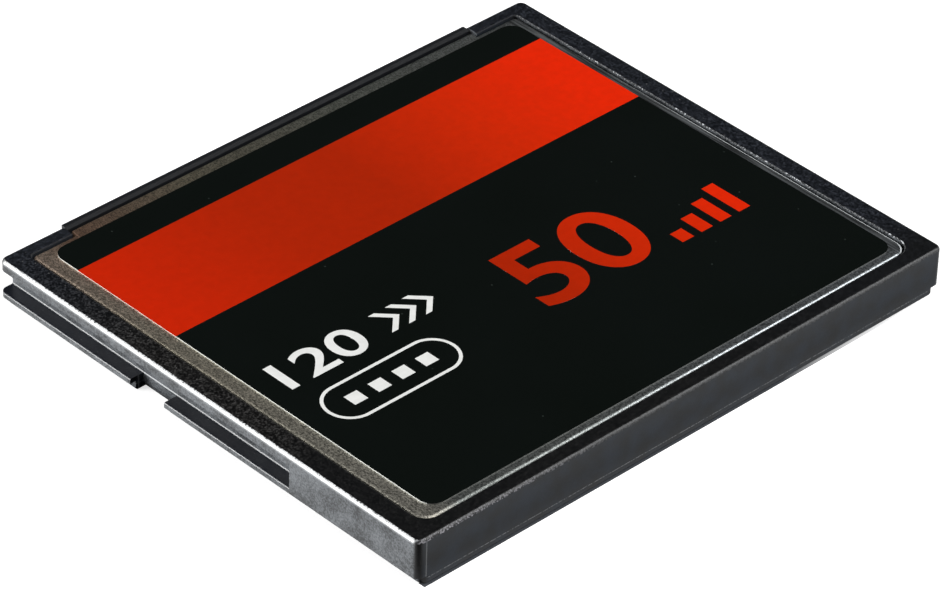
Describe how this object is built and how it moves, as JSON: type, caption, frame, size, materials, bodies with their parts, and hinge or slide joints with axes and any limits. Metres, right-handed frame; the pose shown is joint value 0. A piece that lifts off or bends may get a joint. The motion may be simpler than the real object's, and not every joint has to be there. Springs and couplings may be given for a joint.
{
  "type": "compact flash card",
  "caption": "Flat memory card: moulded frame with side guide grooves, pressed steel covers, a black label and a two-row socket strip along one edge.",
  "frame": {"origin": "middle of the underside's outline, on the surface that the card lies on", "axes": "+X across the card along the label's reading direction, +Y out of the socket edge, +Z out of the label"},
  "size_m": [0.0428, 0.0364, 0.0033],
  "materials": {
    "frame_plastic": "moulded, fine spark texture",
    "cover_steel": "satin rolled stainless sheet",
    "label_film": "glossy black printed film",
    "label_orange": "glossy orange-red ink",
    "label_white": "glossy white ink",
    "socket_plastic": "moulded black, smooth",
    "contact_alloy": "gold flash over spring alloy",
    "board_laminate": "green solder mask",
    "insulator_film": "clear amber film",
    "chip_mould": "moulded epoxy",
    "lead_tin": "matte tin plate",
    "capacitor_ceramic": "fired ceramic",
    "resistor_glaze": "glazed",
    "oscillator_ceramic": "fired ceramic",
    "oscillator_lid_metal": "nickel-plated lid",
    "tantalum_mould": "moulded epoxy"
  },
  "bodies": {
    "root": {"frame": "frame_plastic", "top_cover": "cover_steel", "bottom_cover": "cover_steel", "insulating_film": "insulator_film", "label_sheet": "label_film", "label_band": "label_orange", "label_white_marks": "label_white", "label_orange_marks": "label_orange", "socket_strip": "socket_plastic", "contacts_upper_row": "contact_alloy", "contacts_lower_row": "contact_alloy", "circuit_board": "board_laminate", "flash_chip_upper": "chip_mould", "flash_chip_upper_leads": "lead_tin", "flash_chip_lower": "chip_mould", "flash_chip_lower_leads": "lead_tin", "controller_chip": "chip_mould", "controller_leads": "lead_tin", "capacitor_bodies": "capacitor_ceramic", "capacitor_terminals": "lead_tin", "resistor_bodies": "resistor_glaze", "resistor_terminals": "lead_tin", "oscillator_base": "oscillator_ceramic", "oscillator_lid": "oscillator_lid_metal", "voltage_regulator": "chip_mould", "regulator_leads": "lead_tin", "tantalum_bodies": "tantalum_mould", "tantalum_straps": "lead_tin"}
  },
  "joints": []
}
